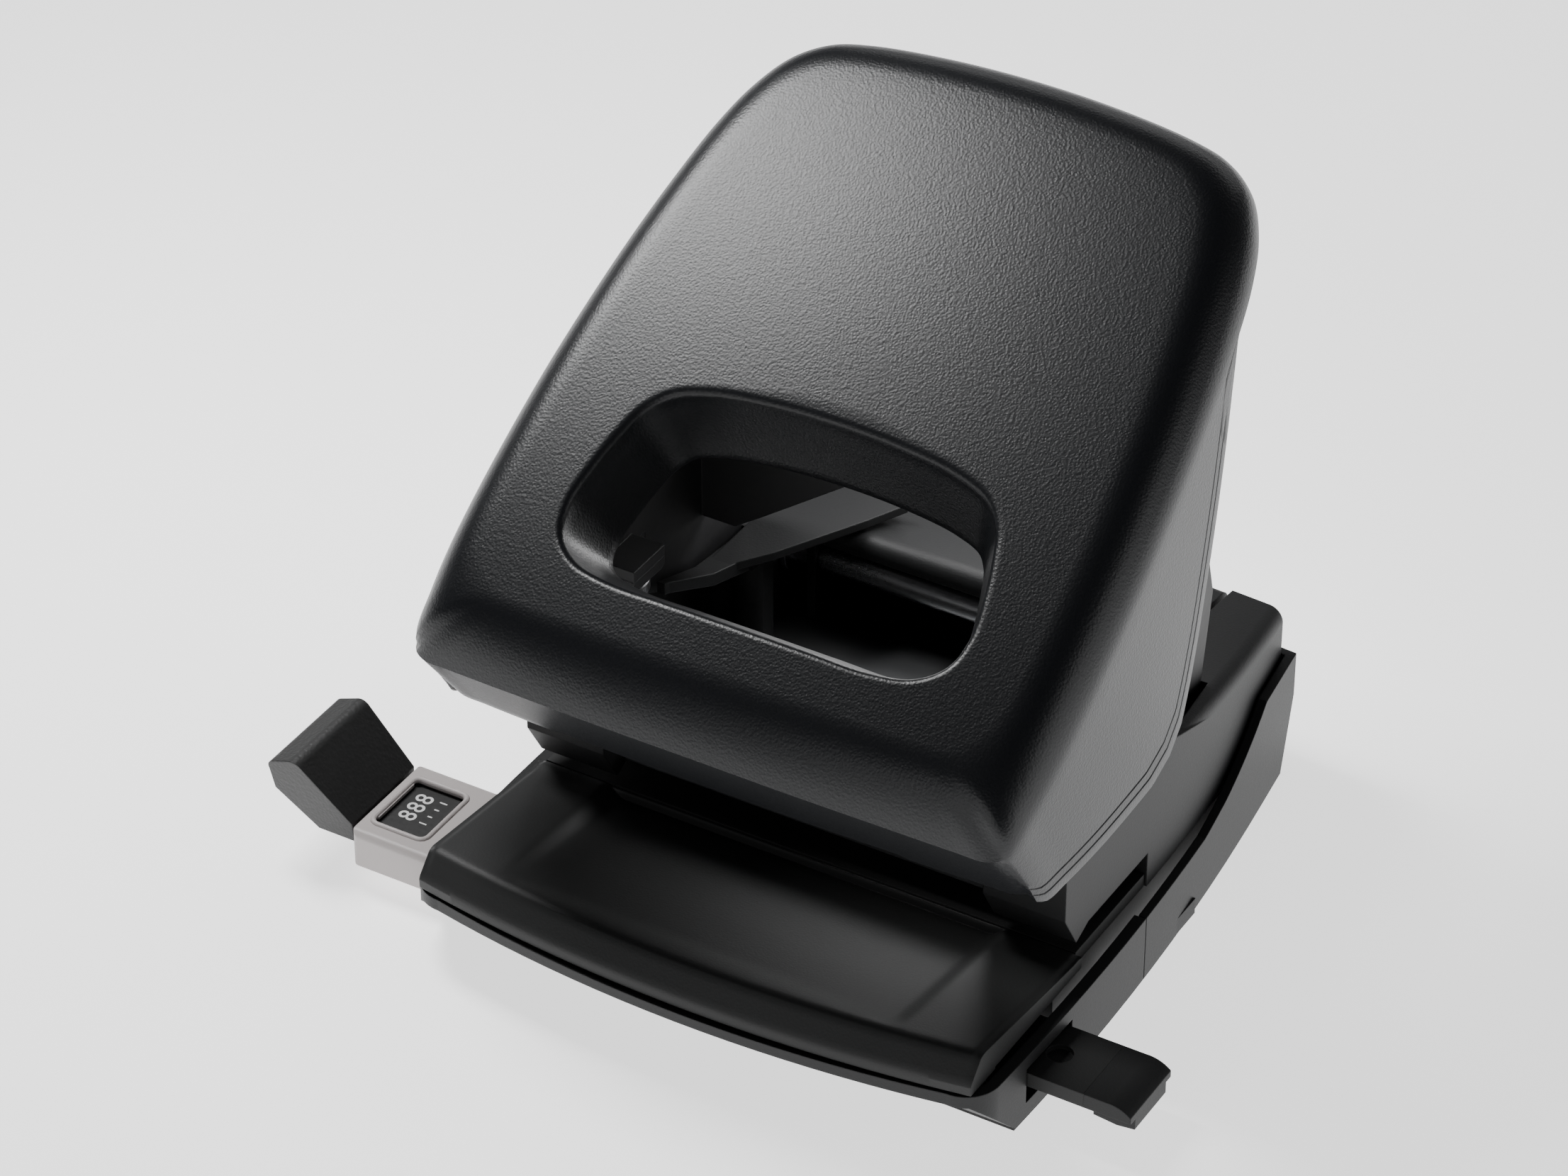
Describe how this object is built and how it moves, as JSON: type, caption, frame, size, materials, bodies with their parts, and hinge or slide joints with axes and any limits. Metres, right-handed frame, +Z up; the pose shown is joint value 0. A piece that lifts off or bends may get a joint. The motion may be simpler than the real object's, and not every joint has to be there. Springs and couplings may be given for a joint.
{
  "type": "two-hole punch",
  "caption": "Black plastic desk hole punch with a sloping windowed handle, scale bar and paper stop.",
  "frame": {"origin": "on the surface it stands on, midway between the two holes and on the line through them", "axes": "+X to the right along the line of the holes, +Y to the rear towards the handle's axle, +Z up"},
  "size_m": [0.153, 0.1212, 0.1214],
  "materials": {
    "base_plastic": "fine matt texture",
    "foot_rubber": "matt",
    "plate_steel": "rolled, plain",
    "black_steel": "black, satin",
    "table_plastic": "fine matt texture",
    "bright_steel": "ground",
    "spring_steel": "bright",
    "handle_plastic": "satin with a fine leather grain",
    "bush_plastic": "plain",
    "sleeve_plastic": "satin light grey",
    "label_print": "black with white marks",
    "stop_plastic": "fine texture on top",
    "tray_plastic": "plain"
  },
  "bodies": {
    "base": {"front_skirt": "base_plastic", "rear_skirt": "base_plastic", "rubber_foot": "foot_rubber", "base_frame": "plate_steel", "paper_table": "table_plastic", "die_plate": "table_plastic", "die_bushes": "bright_steel", "rear_cover": "base_plastic", "punch_bridge": "plate_steel", "slot_backstop": "base_plastic", "pivot_axle": "bright_steel", "axle_clips": "spring_steel", "guide_sleeve": "sleeve_plastic", "detent_spring": "spring_steel", "tray_hinge_pins": "bright_steel", "table_screws": "bright_steel", "cover_screws": "bright_steel", "side_cover_right": "base_plastic", "side_cover_left": "base_plastic", "punch_guide_left": "bright_steel", "punch_guide_right": "bright_steel", "return_spring_left": "spring_steel", "return_spring_right": "spring_steel"},
    "handle": {"handle_shell": "handle_plastic", "lever_frame": "black_steel", "press_pads": "black_steel", "handle_screws": "bright_steel", "pivot_bushes": "bush_plastic"},
    "punch_l": {"punch_left": "bright_steel", "punch_head_left": "bright_steel"},
    "punch_r": {"punch_right": "bright_steel", "punch_head_right": "bright_steel"},
    "guide": {"guide_bar": "table_plastic", "scale_label": "label_print", "bar_grip": "base_plastic", "paper_stop": "stop_plastic"},
    "tray": {"waste_tray": "tray_plastic"}
  },
  "joints": [
    {"name": "handle_press", "type": "hinge", "parent": "base", "child": "handle", "pos_m": [0, 0.05, 0.025], "axis": [1, 0, 0], "range_deg": [0, 13.5], "stiffness_Nm_per_rad": 1.2, "springref_deg": -14.32},
    {"name": "punch_left_stroke", "type": "slide", "parent": "base", "child": "punch_l", "axis": [0, 0, 1], "range_m": [-0.0125, 0], "deforming": ["return_spring_left"]},
    {"name": "punch_right_stroke", "type": "slide", "parent": "base", "child": "punch_r", "axis": [0, 0, 1], "range_m": [-0.0125, 0], "deforming": ["return_spring_right"]},
    {"name": "guide_slide", "type": "slide", "parent": "base", "child": "guide", "axis": [-1, 0, 0], "range_m": [0, 0.08]},
    {"name": "tray_open", "type": "hinge", "parent": "base", "child": "tray", "pos_m": [0, 0.0575, 0.0052], "axis": [1, 0, 0], "range_deg": [0, 60]}
  ],
  "couplings": [
    {"joint": "punch_left_stroke", "follows": "handle_press", "m_per_rad": -0.0515},
    {"joint": "punch_right_stroke", "follows": "handle_press", "m_per_rad": -0.0515}
  ]
}
